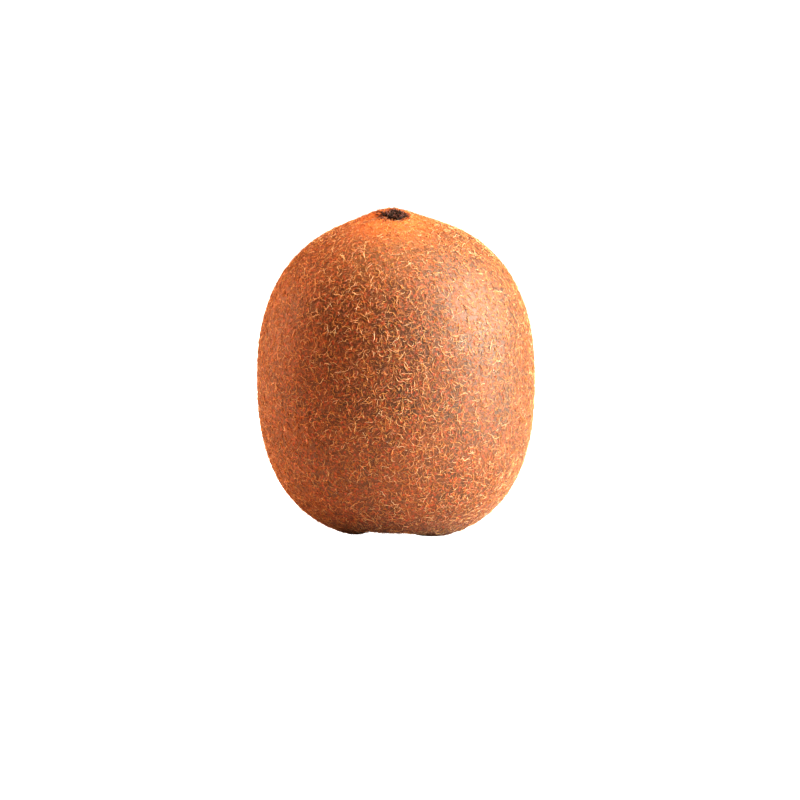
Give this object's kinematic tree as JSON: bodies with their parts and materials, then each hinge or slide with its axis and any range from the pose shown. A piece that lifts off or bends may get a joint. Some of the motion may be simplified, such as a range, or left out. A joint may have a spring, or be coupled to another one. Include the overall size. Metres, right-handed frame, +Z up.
{
  "type": "kiwi fruit",
  "caption": "Whole fuzzy kiwi fruit standing on its stem end: an oval drum with a low beak and dried styles on top, and a stalk hollow with its scar below.",
  "frame": {"origin": "on the resting surface, under the middle of the fruit's bounding box", "axes": "+Z up along the fruit from its stem end to its blossom end, +X across its broad side, -Y the side that the beak leans to"},
  "size_m": [0.0542, 0.0504, 0.0639],
  "materials": {
    "fuzzy_skin": "matt orange-brown skin, thin and slightly rough, with a soft sheen at grazing angles",
    "skin_hair": "short dry hairs, pale tan to reddish brown",
    "dried_styles": "withered strands, nearly black, dull with lighter ridges",
    "corky_scar": "dry cork, dull and cracked"
  },
  "bodies": {
    "root": {"kiwi_fruit": "fuzzy_skin", "style_tuft": "dried_styles", "stem_scar": "corky_scar"}
  },
  "joints": []
}
